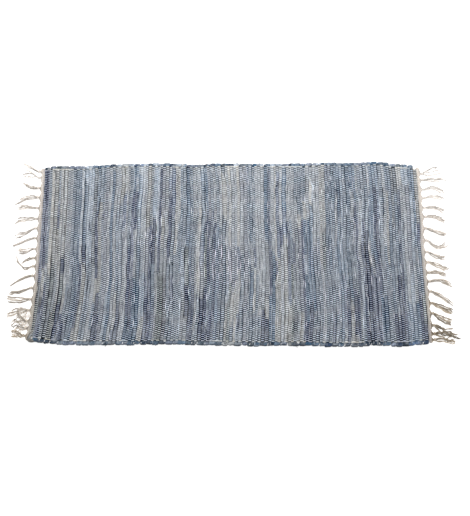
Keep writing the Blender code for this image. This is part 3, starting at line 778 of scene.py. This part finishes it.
# the palest raw edges, and the threads along them: half the width of each, and where it runs, in mm
RAW_EDGES = (
    (1.6, (-551, -63), (-554, -103), (-557, -121)),
    (1.2, (-473, -23), (-486, -74)),
    (1.1, (-497, -125), (-498, -163)),
    (1.1, (-487, -160), (-487, -201)),
    (0.9, (-554, -223), (-552, -264)),
    (1.2, (-503, -229), (-495, -263)),
    (1.2, (-379, -156), (-368, -181)),
    (1.2, (-279, -23), (-278, -67)),
    (1.2, (-265, -204), (-264, -250)),
    (1.2, (-184, -121), (-185, -195), (-174, -222)),
    (1.3, (-160, -144), (-164, -163), (-172, -173), (-178, -201)),
    (1.8, (-143, -121), (-144, -229), (-144, -277)),
    (1.3, (-93, 128), (-93, 90), (-94, -8), (-93, -99)),
    (1.3, (-93, -99), (-89, -144), (-92, -179), (-92, -216)),
    (1.5, (-69, -222), (-65, -246), (-61, -257)),
    (1.3, (-2, -74), (-2, -124)),
    (1.5, (-7, -160), (-6, -188)),
    (1.4, (20, -106), (25, -141), (14, -173)),
    (1.2, (4, -215), (0, -246)),
    (1.6, (23, -232), (21, -280)),
    (1.3, (-40, -246), (-39, -280)),
    (1.4, (76, -243), (63, -280)),
    (1.1, (83, -81), (81, -124)),
    (1.4, (115, -160), (114, -201)),
    (1.2, (278, -124), (284, -145), (283, -215)),
    (1.2, (310, -145), (305, -188), (307, -229)),
    (1.0, (326, -24), (320, -138)),
    (1.3, (344, -222), (342, -268)),
    (1.1, (356, -89), (353, -128)),
    (1.1, (277, -38), (274, -74)),
    (1.8, (412, -27), (403, -128), (402, -172)),
    (1.8, (402, -172), (397, -201), (393, -277)),
    (1.1, (412, -145), (414, -163), (414, -201), (416, -215), (422, -228), (423, -270)),
    (1.3, (467, -24), (462, -74), (464, -117), (460, -156)),
    (1.1, (505, -172), (502, -215)),
    (1.1, (531, -117), (527, -159)),
    (1.1, (224, 276), (226, 241)),
    (2.2, (243, 268), (256, 232), (262, 214), (255, 158)),
    (1.3, (393, 277), (398, 242), (395, 189)),
    (1.7, (404, 178), (407, 137), (407, 75), (406, 8)),
    (1.1, (320, 179), (321, 137)),
    (1.0, (179, 106), (185, 45)),
    (1.0, (165, 38), (165, -15)),
    (1.1, (460, 285), (459, 242)),
    (1.2, (464, 217), (465, 162), (466, 109), (461, 75), (462, 8)),
    (1.2, (-17, 225), (-17, 186)),
    (1.3, (0, 221), (3, 90)),
    (1.1, (-28, 163), (-26, 106)),
    (1.2, (-371, 234), (-364, 156)),
    (1.3, (-325, 76), (-325, 46)),
)
RAW_HEIGHT = 5.9 * MM           # they lie a little under the yarns
RAW_FLAT = 0.2
RAW_WIDE = 1.2                  # their fluff makes them this much wider
RAW_CURL = 0.6
RAW_DYE = "#BCC4CD"
TURN_CURL = 0.25                # threads across a turn are nearly straight


def swelling(share, blunt, power):
    """1 in the middle of a run, and less towards its ends. blunt is how little it narrows there."""
    return np.sin(math.pi * (blunt + (1 - 2 * blunt) * share)) ** power


def add_fray(x, y, curl, thick, dye, height=FRAY_HEIGHT, flat=FRAY_FLAT):
    """Adds a thread along x and y to the lists, curled, and down to the floor past the long edge."""
    x = x + curl * FRAY_WAVE * slow_line(rng, FRAY_STEPS, 2.4)
    y = y + curl * FRAY_WAVE * slow_line(rng, FRAY_STEPS, 2.4)
    edge = np.where(y > 0, long_edge_at(1, x), -long_edge_at(-1, x))
    inside = ((edge - np.abs(y)) / FRAY_FALL).clip(0, 1)
    spines.append(np.stack([x, y, FRAY_LOW + (height - FRAY_LOW) * inside], axis=1))
    widths.append(thick)
    heights.append(thick * flat)
    tones.append(linear(dye))


rng = np.random.default_rng(61)
spines, widths, heights, tones = [], [], [], []
trip = np.linspace(0.0, 1.0, FRAY_STEPS)
for _ in range(FRAY_COUNT):
    share = (rng.integers(1, PICKS) + rng.uniform(-FRAY_STEER, FRAY_STEER)) / PICKS
    curl = rng.choice(FRAY_CURLS, p=(0.6, 0.25, 0.15))
    y = rng.uniform(-FRAY_FIELD, FRAY_FIELD)
    y = y + rng.choice(FRAY_LENGTHS) * rng.uniform(0.7, 1.3) * MM * (trip - 0.5)
    thick = rng.uniform(0.5, 1.1) * MM
    add_fray(strip_x(share, y), y, curl, thick, rng.choice(FRAY_DYES, p=(0.4, 0.27, 0.08, 0.25)))
for _ in range(TURN_FRAYS):
    side = rng.choice((-1, 1))
    x = rng.uniform(*TURN_SPAN) + rng.uniform(-2, 2) * MM * trip
    y = long_edge_at(side, x) - side * (TURN_FRAY_FROM + TURN_FRAY_RUN * trip) * MM
    thick = rng.uniform(0.3, 0.75) * MM
    add_fray(x, y, TURN_CURL, thick, rng.choice(FRAY_DYES, p=(0.3, 0.25, 0.15, 0.3)))
for row in PLACED_FRAYS:
    add_fray(row.x + row.run * trip, row.y + row.rise * trip, row.curl, row.thick, FRAY_DYES[row.dye])
for thick, *points in RAW_EDGES:
    points = np.array(points) * MM
    passed = run_lengths(points[None])[0]
    x = np.interp(trip * passed[-1], passed, points[:, 0])
    y = np.interp(trip * passed[-1], passed, points[:, 1])
    add_fray(x, y, RAW_CURL, RAW_WIDE * thick * MM, RAW_DYE, height=RAW_HEIGHT, flat=RAW_FLAT)
spines = np.array(spines)
taper = swelling(trip, 0.06, 0.5)[None, :, None]
rings = lay_rings(spines, (45, 135, 225, 315), np.array(widths)[:, None, None] * taper,
                  np.array(heights)[:, None, None] * taper)
dyes = np.array(tones)[:, None, None, :] * rng.uniform(*FRAY_TONES, (len(spines), FRAY_STEPS, 1, 1))
frays = add_tubes("frays", rings, run_lengths(spines), np.repeat(dyes, 4, axis=2), denim)
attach(frays, "root")

# ---- corner rag ----
# The end of the first strip, a rag of grey denim. It is brought round the front left corner, over the end of
# the heading, and tucked back in under the weave.
WRAP_ROUTE = ((-563, -288, 5), (-571, -289, 6), (-578, -288, 6.5), (-582, -284, 6.5), (-582, -278, 5.5),
              (-579, -271, 4.5), (-576, -264, 4), (-573, -256, 3))      # and half its width there, in mm
WRAP_RINGS = 18
WRAP_LENGTH = 60 * MM
WRAP_MIDDLE = 3.9 * MM
WRAP_RISE = 3.3 * MM
WRAP_LUMPS = 0.3 * MM
WRAP_DYE = "#8E8B86"
rng = np.random.default_rng(71)
route = np.array(WRAP_ROUTE) * MM
share = np.linspace(0, 1, WRAP_RINGS)
stops = np.linspace(0, 1, len(route))
spine = np.stack([np.interp(share, stops, route[:, axis]) for axis in (0, 1, 2)], axis=1)
along = np.gradient(spine[:, :2], axis=0)
along /= np.linalg.norm(along, axis=1)[:, None]
shrink = swelling(share, 0.12, 0.4) * rng.uniform(0.93, 1.07, WRAP_RINGS)
half_wide = spine[:, 2:] * shrink[:, None]
rings = np.zeros((WRAP_RINGS, len(STRIP_ROUND), 3))
rings[..., 0] = spine[:, :1] - along[:, 1:] * ring_across * half_wide
rings[..., 1] = spine[:, 1:2] + along[:, :1] * ring_across * half_wide
rings[..., 2] = WRAP_MIDDLE + ring_up * WRAP_RISE * shrink[:, None]
rings[..., 2] += rng.uniform(-WRAP_LUMPS, WRAP_LUMPS, rings.shape[:2])
dyes = linear(WRAP_DYE) * rng.uniform(0.4, 1.1, (*rings.shape[:2], 1))
lengths = np.linspace(0, WRAP_LENGTH, WRAP_RINGS)[None]
corner_rag = add_tubes("corner_rag", rings[None], lengths, dyes[None], denim)
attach(corner_rag, "root")

# ---- headings ----
# A narrow band of cotton at each short end, woven over and under the same warp and beaten up close, which
# keeps the last denim strip from working loose.
HEADING_PICKS = 4
HEADING_RISE = 0.9 * MM
HEADING_WAVE = 0.85 * MM
HEADING_TONES = (0.7, 1.25)     # it is darker next to the denim and paler outside
HEADING_PALER_BACK = 0.6             # and paler towards the back: it gains this share of its tone for each metre
HEADING_PRESS = 0.54            # half a yarn's width, as a share of its room
HEADING_SWELL = 0.08            # its yarn is thicker or thinner by this share
HEADING_PATCH = 0.15            # and paler or darker by this one
HEADING_TURN = 1.6 * MM         # its turns stand out this far past the outermost warp yarn
for name, side, heading_ends in (("heading_left", -1, left_y), ("heading_right", 1, right_y)):
    rng = np.random.default_rng(21 + side)
    yarn_pitch = HEADING_WIDTH / HEADING_PICKS
    spine, lift = [], []
    for pick in range(HEADING_PICKS):
        out = SEAM + (pick + 0.5) * yarn_pitch
        order = np.arange(ENDS) if pick % 2 == 0 else np.arange(ENDS)[::-1]
        for end in order:
            y = heading_ends[end]
            wave = HEADING_WAVE * (1 if (pick + end) % 2 == 0 else -1)
            spine.append((end_at(side, y) + side * out, y, HEADING_MIDDLE + wave))
        away = 1 if pick % 2 == 0 else -1
        y = heading_ends[order[-1]]
        for step in (1, 2, 3):
            angle = math.pi * step / 4
            shift = side * (out + yarn_pitch / 2 * (1 - math.cos(angle)))
            spine.append((end_at(side, y) + shift, y + away * HEADING_TURN * math.sin(angle), HEADING_MIDDLE))
    spine = np.array(spine)
    swell = 1 + HEADING_SWELL * slow_line(rng, len(spine), 5)[:, None]
    wide = yarn_pitch * HEADING_PRESS * swell
    rings = lay_rings(spine[None], range(30, 390, 60), -wide, HEADING_RISE * swell)
    outer = ((spine[:, 0] - end_at(side, spine[:, 1])) * side / HEADING_WIDTH).clip(0, 1)
    tone = np.interp(outer, (0, 1), HEADING_TONES) * (1 + HEADING_PALER_BACK * spine[:, 1])
    tone *= 1 + HEADING_PATCH * slow_line(rng, len(spine), 14)
    tone = tone[:, None, None] * rng.uniform(0.85, 1.08, (len(spine), 1, 1))
    dyes = np.repeat(linear(COTTON_DYES["band"]) * tone, 6, axis=1)
    piece = add_tubes(name + "_weave", rings, run_lengths(spine[None]), dyes[None], cotton)
    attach(piece, "root")
    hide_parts(name)

# ---- tassels ----
# The warp's own ends, gathered by tens, tied in an overhand knot against the heading and left to lie loose.
# Kinks from the weaving stay in the yarn, and some tassels have worn brown and tangled.
Tassel = namedtuple("Tassel", "y reach drift bow spread dye curl")
LEFT_TASSELS = read_rows(Tassel, 5, (
    (273, 66, 26, 3, 14, "white", 0.6),
    (251, 70, 6, 12, 24, "white", 1.0),
    (214, 64, 22, -6, 11, "pale", 0.6),
    (181, 70, -16, 6, 17, "pale", 0.8),
    (144, 73, 0, 3, 10, "pale", 0.5),
    (107, 76, -10, 3, 13, "pale", 0.5),
    (74, 76, -26, -6, 20, "pale", 0.7),
    (41, 76, -26, 0, 10, "pale", 0.5),
    (5, 60, -4, -6, 18, "pale", 0.9),
    (-26, 42, -14, 2, 10, "cream", 0.8),
    (-53, 64, 31, -19, 10, "cream", 0.7),
    (-84, 76, -36, 6, 10, "cream", 0.6),
    (-123, 79, -14, -6, 10, "cream", 0.6),
    (-159, 83, 2, -4, 19, "cream", 0.9),
    (-194, 74, -16, 5, 18, "cream", 1.3),
    (-228, 46, 10, 6, 26, "cream", 2.6),
    (-251, 52, 4, 5, 22, "cream", 2.4),
    (-273, 50, 8, 4, 19, "tan", 2.0),
))
RIGHT_TASSELS = read_rows(Tassel, 5, (
    (262, 79, 18, 0, 28, "white", 0.8),
    (240, 84, -2, 3, 15, "white", 0.6),
    (207, 76, -18, 13, 11, "white", 0.5),
    (177, 76, -13, 11, 10, "white", 0.5),
    (143, 75, -20, 8, 10, "white", 0.5),
    (112, 70, -18, 8, 10, "pale", 0.5),
    (73, 75, -24, -2, 10, "pale", 0.5),
    (32, 72, -9, -17, 11, "pale", 0.6),
    (-6, 69, -18, -8, 10, "pale", 0.6),
    (-40, 70, -26, 1, 10, "cream", 0.6),
    (-74, 62, -14, 7, 10, "cream", 0.7),
    (-102, 72, -18, 12, 10, "cream", 0.7),
    (-134, 71, -44, 2, 11, "cream", 0.8),
    (-171, 77, -29, -3, 16, "tan", 0.9),
    (-203, 70, -30, -6, 18, "tan", 1.1),
    (-240, 72, -24, -6, 18, "tan", 1.6),
    (-266, 80, -18, 3, 22, "brown", 1.5),
    (-284, 72, -1, -1, 18, "tan", 1.4),
))
FRINGE_YARN = 1.0 * MM          # half the width of a yarn
KNOT_IN = 5.2 * MM              # the knot begins this far out from the heading, and ends at KNOT_OUT
KNOT_OUT = 12.2 * MM
KNOT_WIDE = 4.4 * MM            # half the width of the knot's core
KNOT_HIGH = 2.4 * MM
KNOT_CORD = 1.45 * MM           # half the thickness of the turns round it
KNOT_MIDDLE = KNOT_HIGH + KNOT_CORD + 0.1 * MM
KNOT_TURNS = 2.2
KNOT_STEPS = 30                 # rings along the turns
KNOT_SIDES = 6
KNOT_END = 1.4 * MM             # the turns end this far inside the knot
KNOT_LENGTH = 60 * MM           # length of yarn in them
GATHER_STEPS = (0.0, 0.3, 0.6, 0.85)
TASSEL_STEPS = 18
YARN_SIDES = 4
LOCKS = 3                       # past its knot a tassel parts into this many loose locks
# locks differ in tone, partly their own and partly painted shade between the strands
LOCK_SHADES = (0.78, 1.0, 1.12)
LOCK_TIPS = (0.8, 1.0)          # length of a lock, as a share of the tassel's
YARN_TIPS = (0.9, 1.06)         # and of a yarn, as a share of its lock's
# the darkest yarn of each dye: partly worn yarn, partly painted shade between strands
YARN_SHADES = {"white": 0.8, "pale": 0.7, "cream": 0.62, "tan": 0.5, "brown": 0.45}  # its darkest yarn
YARN_SWELLS = {"white": 1.2, "pale": 1.2, "cream": 1.25, "tan": 1.4, "brown": 1.5}  # worn yarns fluff up
ROOT_SHADE = 0.82               # a yarn's tone at the knot, where the crowded yarns are soiled and hold painted shade
TIP_SHADE = 1.08                # and at its tip
LOCK_WAVE = 1.7 * MM            # a lock strays this far to each side
LOCK_TWIST = 1.1 * MM           # its yarns wind round each other at this radius
LOCK_TURN = 7                   # and by this many radians from the knot to the tip
LOCK_NEAR = 1.6 * MM            # half the width over a tassel's locks at the knot
LOCK_APART = 0.6                # and at its tip, as a share of its spread
LOCK_FLARE = 0.45               # below 1, they part soon after the knot
LAYER = 1.1 * MM                # the gathered yarns lie in three layers, this far apart
GATHERED = 1.8 * MM             # half the width of the gathered yarns
STRAY_SHARE = 0.2               # this share of the yarns stray up to STRAY_FAR at their tips
STRAY_FAR = 5 * MM
STRAY_NEAR = 1 * MM             # and the others up to this
KINK_ASIDE = 1.1 * MM           # its kinks from the weaving, across it and along it
KINK_ALONG = 1.5 * MM
TIP_THIN = 0.45                 # a yarn's tip, as a share of its thickness
SOILED = 0.82                   # its tone changes from stretch to stretch, between this and CLEAN
CLEAN = 1.1

for name, side, table, yarn_y in (("tassels_left", -1, LEFT_TASSELS, left_y),
                                  ("tassels_right", 1, RIGHT_TASSELS, right_y)):
    rng = np.random.default_rng(31 + side)
    homes = np.array([row.y for row in table])
    spines, colours, girths = [], [], []
    for row in table:
        mine = [y for y in yarn_y if np.argmin(np.abs(homes - y)) == table.index(row)]
        base_x = end_at(side, row.y) + side * (SEAM + HEADING_WIDTH)
        tint = linear(COTTON_DYES[row.dye])
        run = row.reach - KNOT_OUT
        lock_tone_and_shade = rng.permutation(LOCK_SHADES)
        twist = LOCK_TWIST * (1 + 0.6 * max(row.curl - 1, 0))
        lock_lines = [slow_line(rng, TASSEL_STEPS + 1, 3.2) for _ in range(LOCKS)]
        lock_tips = rng.uniform(*LOCK_TIPS, LOCKS)
        for number, y in enumerate(mine):
            lane = number / max(len(mine) - 1, 1) * 2 - 1
            lock = number * LOCKS // len(mine)
            lock_lane = (lock / (LOCKS - 1) * 2 - 1) * 0.9
            layer = number % 3
            place = end_at(side, y) + side * (SEAM + HEADING_WIDTH)
            spine = []
            for share in GATHER_STEPS:
                ease = share * share * (3 - 2 * share)
                out = -1.0 * MM + (KNOT_IN + 1.0 * MM) * share ** 1.3
                spine.append((place * (1 - ease) + base_x * ease + side * out,
                              y + (row.y + lane * GATHERED - y) * ease,
                              HEADING_MIDDLE + (layer - 1) * LAYER * ease))
            spine.append((base_x + side * KNOT_IN, row.y + lane * 2.0 * MM, 2.6 * MM + (layer - 1) * LAYER))
            spine.append((base_x + side * (KNOT_OUT - 1.5 * MM), row.y + lane * GATHERED,
                          2.4 * MM + (layer - 1) * MM))
            tip = lock_tips[lock] * rng.uniform(*YARN_TIPS)
            stray = rng.uniform(-1, 1) * (STRAY_FAR if rng.random() < STRAY_SHARE else STRAY_NEAR)
            stray *= 0.4 + row.curl
            kink = slow_line(rng, TASSEL_STEPS + 1, 2.0) * row.curl
            kink_along = slow_line(rng, TASSEL_STEPS + 1, 2.4) * row.curl
            phase = rng.uniform(0, 2 * math.pi)
            for step in range(1, TASSEL_STEPS + 1):
                share = step / TASSEL_STEPS * tip
                loose = min(1.0, share * 3)
                width = LOCK_NEAR + (row.spread * LOCK_APART - LOCK_NEAR) * min(share, 1.0) ** LOCK_FLARE
                slope = row.drift + 4 * row.bow * (1 - 2 * share)
                length = math.hypot(run, slope)
                back = row.drift * share + 4 * row.bow * share * (1 - share)
                wind = phase + share * LOCK_TURN
                aside = lock_lane * width + stray * share ** 2 + twist * math.cos(wind)
                wave = lock_lines[lock][step] * LOCK_WAVE * (0.4 + row.curl)
                aside += (wave + kink[step] * KINK_ASIDE) * loose
                ahead = kink_along[step] * KINK_ALONG * loose
                lift = (0.2 + 0.5 * math.exp(-share * 7) + 0.9 * (lock == 1)) * MM
                spine.append((
                    base_x + side * (KNOT_OUT + run * share + ahead) - slope / length * aside,
                    row.y + back + run / length * aside,
                    FRINGE_YARN + lift + LOCK_TWIST * (1 + math.sin(wind))))
            spines.append(spine)
            girths.append(FRINGE_YARN * YARN_SWELLS[row.dye])
            # a yarn's tone: its lock's and its own, partly painted shade between strands
            colours.append(tint * lock_tone_and_shade[lock] * rng.uniform(YARN_SHADES[row.dye], 1.1))
    spines = np.array(spines)
    along = np.gradient(spines, axis=1)
    along /= np.linalg.norm(along, axis=2)[:, :, None]
    flat = np.stack([-along[..., 1], along[..., 0], np.zeros(along.shape[:2])], axis=2)
    flat /= np.linalg.norm(flat, axis=2)[:, :, None].clip(min=1e-9)
    upward = np.cross(along, flat)
    upward *= np.sign(upward[..., 2:])
    around = np.radians(np.arange(YARN_SIDES) * 360 / YARN_SIDES + 90)
    thin = np.ones(spines.shape[1])
    thin[-1] = TIP_THIN
    girth = (np.array(girths)[:, None] * thin)[:, :, None, None]
    rings = (spines[:, :, None, :] + flat[:, :, None, :] * girth * np.cos(around)[:, None]
             + upward[:, :, None, :] * girth * np.sin(around)[:, None])
    rings[..., 2] = rings[..., 2].clip(min=0.05 * MM)
    ring_share = (np.arange(spines.shape[1]) / spines.shape[1])[None, :, None, None]
    tone = rng.uniform(SOILED, CLEAN, (*spines.shape[:2], 1, 1))
    # painted shade and soil near the knot, paling towards the tip
    tone *= ROOT_SHADE + (TIP_SHADE - ROOT_SHADE) * ring_share
    dyes = np.repeat(np.array(colours)[:, None, None, :] * tone, YARN_SIDES, axis=2)
    piece = add_tubes(name, rings, run_lengths(spines), dyes, cotton)
    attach(piece, "root")

    # the turns of each knot, a coil round the gathered yarns
    coils, coil_dyes = [], []
    for row in table:
        base_x = end_at(side, row.y) + side * (SEAM + HEADING_WIDTH)
        lean = rng.uniform(-0.5, 0.5)
        size = rng.uniform(0.9, 1.08)
        wound = np.linspace(0, KNOT_TURNS * 2 * math.pi, KNOT_STEPS)
        share = np.linspace(0, 1, KNOT_STEPS)
        swell = swelling(share, 0.12, 1)
        coils.append(np.stack([
            base_x + side * (KNOT_IN + KNOT_END + (KNOT_OUT - KNOT_IN - 2 * KNOT_END) * share
                             + lean * MM * np.cos(wound)),
            row.y + KNOT_WIDE * size * swell * np.cos(wound + lean),
            KNOT_MIDDLE + KNOT_HIGH * size * swell * np.sin(wound + lean)], axis=1))
        coil_dyes.append(linear(COTTON_DYES[row.dye]) * rng.uniform(0.9, 1.05))
    coils = np.array(coils)
    along = np.gradient(coils, axis=1)
    along /= np.linalg.norm(along, axis=2)[:, :, None]
    outward = coils.copy()
    outward[..., 0] = 0
    outward[..., 1] -= homes[:, None]
    outward[..., 2] -= KNOT_MIDDLE
    outward -= (outward * along).sum(axis=2)[:, :, None] * along
    outward /= np.linalg.norm(outward, axis=2)[:, :, None]
    beside = np.cross(along, outward)
    around = np.radians(np.arange(KNOT_SIDES) * 360 / KNOT_SIDES)
    rings = (coils[:, :, None, :] + outward[:, :, None, :] * (np.cos(around) * KNOT_CORD)[:, None]
             + beside[:, :, None, :] * (np.sin(around) * KNOT_CORD)[:, None])
    rings[..., 2] = rings[..., 2].clip(min=0.05 * MM)
    dyes = np.broadcast_to(np.array(coil_dyes)[:, None, None, :], rings.shape)
    lengths = np.tile(np.linspace(0, KNOT_LENGTH, KNOT_STEPS), (len(coils), 1))
    piece = add_tubes(name.replace("tassels", "knots"), rings, lengths, dyes, cotton)
    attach(piece, "root")

# yarns that have come away and lie curled up in a tangle among the tassels at the front left
TANGLE_COUNT = 46
TANGLE_STEPS = 26
TANGLE_YARN = 0.6 * MM          # half its width
TANGLE_LOW = 1.0 * MM           # the yarns lie from this height up to TANGLE_DEEP over it
TANGLE_DEEP = 3.2 * MM
Patch = namedtuple("Patch", "x y wide deep")
TANGLES = read_rows(Patch, 4, (
    (-618, -192, 7, 5),
    (-612, -207, 9, 7),
    (-597, -213, 8, 7),
    (-600, -229, 10, 8),
    (-598, -243, 9, 8),
    (-612, -252, 15, 5),
    (-622, -268, 13, 4),
))
rng = np.random.default_rng(81)
spines, tones = [], []
trip = np.linspace(0, 1, TANGLE_STEPS)
for number in range(TANGLE_COUNT):
    row = TANGLES[number % len(TANGLES)]
    course = rng.uniform(0, 2 * math.pi) + trip * rng.choice((-1, 1)) * rng.uniform(5, 11)
    course += 1.2 * slow_line(rng, TANGLE_STEPS, 5)
    stride = rng.uniform(1.3, 2.0) * MM
    x = np.cumsum(np.cos(course)) * stride
    y = np.cumsum(np.sin(course)) * stride
    x += row.x + rng.uniform(-1, 1) * row.wide - x.mean()
    y += row.y + rng.uniform(-1, 1) * row.deep - y.mean()
    z = TANGLE_LOW + rng.uniform(0, TANGLE_DEEP) + 0.8 * MM * slow_line(rng, TANGLE_STEPS, 4)
    spines.append(np.stack([x, y, z], axis=1))
    tones.append(linear(COTTON_DYES[rng.choice(("brown", "cream", "white"), p=(0.25, 0.35, 0.4))]))
spines = np.array(spines)
rings = lay_rings(spines, (45, 135, 225, 315), TANGLE_YARN, TANGLE_YARN)
dyes = np.array(tones)[:, None, None, :] * rng.uniform(*FRAY_TONES, (TANGLE_COUNT, TANGLE_STEPS, 1, 1))
tangle = add_tubes("tangle_left", rings, run_lengths(spines), np.repeat(dyes, 4, axis=2), cotton)
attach(tangle, "root")

# ---- floor and light ----
# A white floor that glows a little, and one wide soft lamp beyond the back edge. So the rug has hardly any
# shadow, and grows a little darker towards the front.
FLOOR_HALF = 6.0
FLOOR_DROP = 0.2 * MM           # it lies this far under the rug, so that no faces share a plane
FLOOR_GLOW = 0.6
SKY = 0.6
LAMP_WIDE = 1.6
LAMP_POWER = 35.0
LAMP_PLACE = Vector((0.12, 1.15, 1.4))
bm = bmesh.new()
bmesh.ops.create_grid(bm, x_segments=2, y_segments=2, size=FLOOR_HALF)
bmesh.ops.translate(bm, verts=bm.verts, vec=(0.0, 0.0, -FLOOR_DROP))
mesh = bpy.data.meshes.new("floor")
bm.to_mesh(mesh)
bm.free()
floor = bpy.data.objects.new("floor", mesh)
bpy.context.scene.collection.objects.link(floor)
paper, _ = start_material("white_paper", {
    "Base Color": (*linear("#F4F4F4"), 1.0), "Roughness": 0.9,
    "Emission Color": (1.0, 1.0, 1.0, 1.0), "Emission Strength": FLOOR_GLOW})
mesh.materials.append(paper)

world = bpy.data.worlds.new("studio")
bpy.context.scene.world = world
world.use_nodes = True
world.node_tree.nodes["Background"].inputs["Color"].default_value = (1.0, 1.0, 1.0, 1.0)
world.node_tree.nodes["Background"].inputs["Strength"].default_value = SKY

lamp = bpy.data.objects.new("lamp", bpy.data.lights.new("lamp", "AREA"))
lamp.data.shape = "DISK"
lamp.data.size = LAMP_WIDE
lamp.data.energy = LAMP_POWER
lamp.location = LAMP_PLACE
lamp.rotation_euler = (-LAMP_PLACE).to_track_quat("-Z", "Y").to_euler()
bpy.context.scene.collection.objects.link(lamp)
bpy.context.scene.view_settings.view_transform = "Standard"
